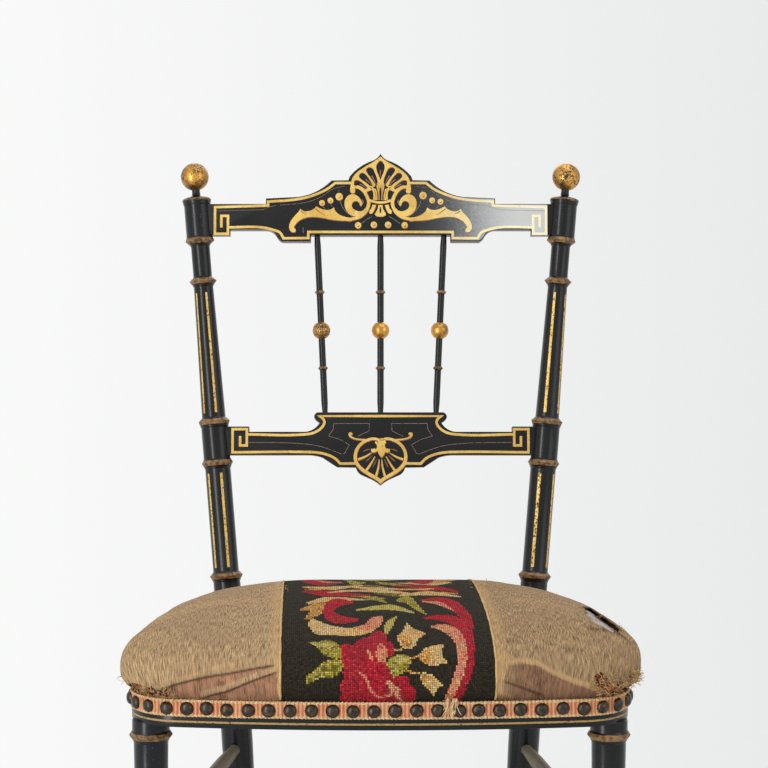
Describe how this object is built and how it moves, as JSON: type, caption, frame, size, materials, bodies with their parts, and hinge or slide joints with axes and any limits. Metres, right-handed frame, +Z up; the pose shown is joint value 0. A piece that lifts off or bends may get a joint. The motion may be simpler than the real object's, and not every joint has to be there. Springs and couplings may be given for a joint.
{
  "type": "side chair",
  "caption": "Black painted side chair with gilt ornament, turned posts with ball tops, slim spindles and a crowned upholstered seat with a needlework panel.",
  "frame": {"origin": "on the floor, under the middle of the chair's bounding box", "axes": "+Z up, the front of the chair faces -Y, +X is to the viewer's right from the front"},
  "size_m": [0.4424, 0.4718, 0.8853],
  "materials": {
    "black_paint": "ebonised paint, satin, worn brown on the ring edges",
    "worn_paint": "thin dusty grey-brown paint",
    "gilt": "worn gilding on wood",
    "bare_wood": "unfinished wood",
    "velvet": "worn tan velvet",
    "needlework": "woollen needlework with a flower pattern",
    "braid": "woven braid",
    "nail_brass": "darkened domes",
    "tack_steel": "blued",
    "webbing": "jute webbing",
    "hessian": "hessian",
    "stuffing": "hair and wadding"
  },
  "bodies": {
    "root": {"rear_post_left": "black_paint", "rear_post_right": "black_paint", "crest_rail": "black_paint", "lower_back_rail": "black_paint", "spindle_left": "black_paint", "spindle_centre": "black_paint", "spindle_right": "black_paint", "seat_front_rail": "black_paint", "seat_side_rail_left": "black_paint", "seat_side_rail_right": "black_paint", "seat_rear_rail": "black_paint", "front_leg_left": "black_paint", "front_leg_right": "black_paint", "side_stretcher_upper_left": "worn_paint", "side_stretcher_upper_right": "worn_paint", "side_stretcher_lower_left": "worn_paint", "side_stretcher_lower_right": "worn_paint", "front_stretcher": "worn_paint", "rear_stretcher": "worn_paint", "finial_ball_left": "gilt", "finial_ball_right": "gilt", "spindle_bead_left": "gilt", "spindle_bead_centre": "gilt", "spindle_bead_right": "gilt", "corner_block_front_left": "bare_wood", "corner_block_front_right": "bare_wood", "corner_block_rear_left": "bare_wood", "corner_block_rear_right": "bare_wood", "frame_dowels": "bare_wood", "velvet_cover_left": "velvet", "velvet_cover_right": "velvet", "needlepoint_panel": "needlework", "braid": "braid", "braid_nails": "nail_brass", "webbing_tacks": "tack_steel", "webbing_along": "webbing", "webbing_across": "webbing", "hessian_cloth": "hessian", "seat_pad": "stuffing"}
  },
  "joints": []
}
